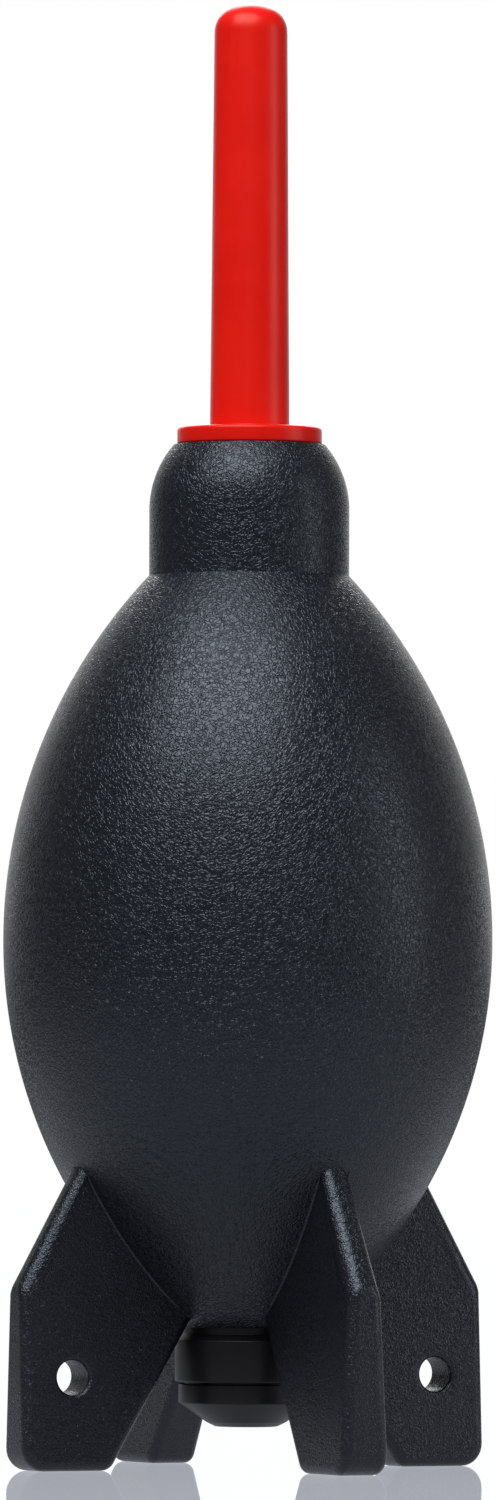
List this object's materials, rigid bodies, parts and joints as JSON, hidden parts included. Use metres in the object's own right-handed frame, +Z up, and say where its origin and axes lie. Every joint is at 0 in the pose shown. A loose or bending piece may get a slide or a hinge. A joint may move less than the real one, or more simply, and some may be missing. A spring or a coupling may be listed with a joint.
{
  "type": "dust blower bulb",
  "caption": "Hand-squeezed rubber air blower with a rocket-shaped bulb that stands on fins, a slim push-in nozzle and a one-way intake valve in its base.",
  "frame": {"origin": "on the floor under the blower's axis, where it stands on its fins", "axes": "+Z up along the axis to the nozzle's tip, -Y towards the front, where the thumb presses, fins on the diagonals with the lanyard holes at +X +Y and -X -Y"},
  "size_m": [0.0636, 0.0636, 0.19],
  "materials": {
    "bulb_rubber": "charcoal rubber with a fine leather grain, satin",
    "fin_rubber": "darker charcoal rubber with a very fine grain, satin with brighter rounded edges",
    "nozzle_plastic": "moulded red plastic, semi-gloss",
    "valve_plastic": "smooth black plastic, satin",
    "seat_plastic": "natural white plastic, satin",
    "valve_rubber": "soft grey silicone, satin",
    "filter_felt": "off-white felt",
    "spring_steel": "drawn spring wire"
  },
  "bodies": {
    "bulb": {"bulb_shell": "bulb_rubber", "fin_front_left": "fin_rubber", "fin_front_right": "fin_rubber", "fin_back_right": "fin_rubber", "fin_back_left": "fin_rubber", "valve_body": "valve_plastic", "intake_cap": "valve_plastic", "intake_filter": "filter_felt", "valve_spring": "spring_steel", "valve_cage": "seat_plastic"},
    "wall_front": {"bulb_wall_front": "bulb_rubber"},
    "wall_back": {"bulb_wall_back": "bulb_rubber"},
    "nozzle": {"nozzle": "nozzle_plastic", "outlet_seat": "seat_plastic"},
    "outlet_flap": {"outlet_flap": "valve_rubber"},
    "valve_disc": {"valve_disc": "valve_rubber"}
  },
  "joints": [
    {"name": "bulb_squeeze", "type": "slide", "parent": "bulb", "child": "wall_front", "axis": [0, 1, 0], "range_m": [0, 0.012], "stiffness_N_per_m": 500},
    {"name": "bulb_squeeze_back", "type": "slide", "parent": "bulb", "child": "wall_back", "axis": [0, -1, 0], "range_m": [0, 0.012], "stiffness_N_per_m": 500},
    {"name": "nozzle_pull", "type": "slide", "parent": "bulb", "child": "nozzle", "axis": [0, 0, 1], "range_m": [0, 0.02]},
    {"name": "outlet_flap_lift", "type": "slide", "parent": "nozzle", "child": "outlet_flap", "axis": [0, 0, 1], "range_m": [0, 0.0012]},
    {"name": "intake_valve_lift", "type": "slide", "parent": "bulb", "child": "valve_disc", "axis": [0, 0, 1], "range_m": [0, 0.0015], "stiffness_N_per_m": 8, "springref_m": -0.001, "deforming": ["valve_spring"]}
  ],
  "couplings": [
    {"joint": "bulb_squeeze_back", "follows": "bulb_squeeze", "ratio": 1},
    {"joint": "outlet_flap_lift", "follows": "bulb_squeeze", "ratio": 0.1}
  ]
}
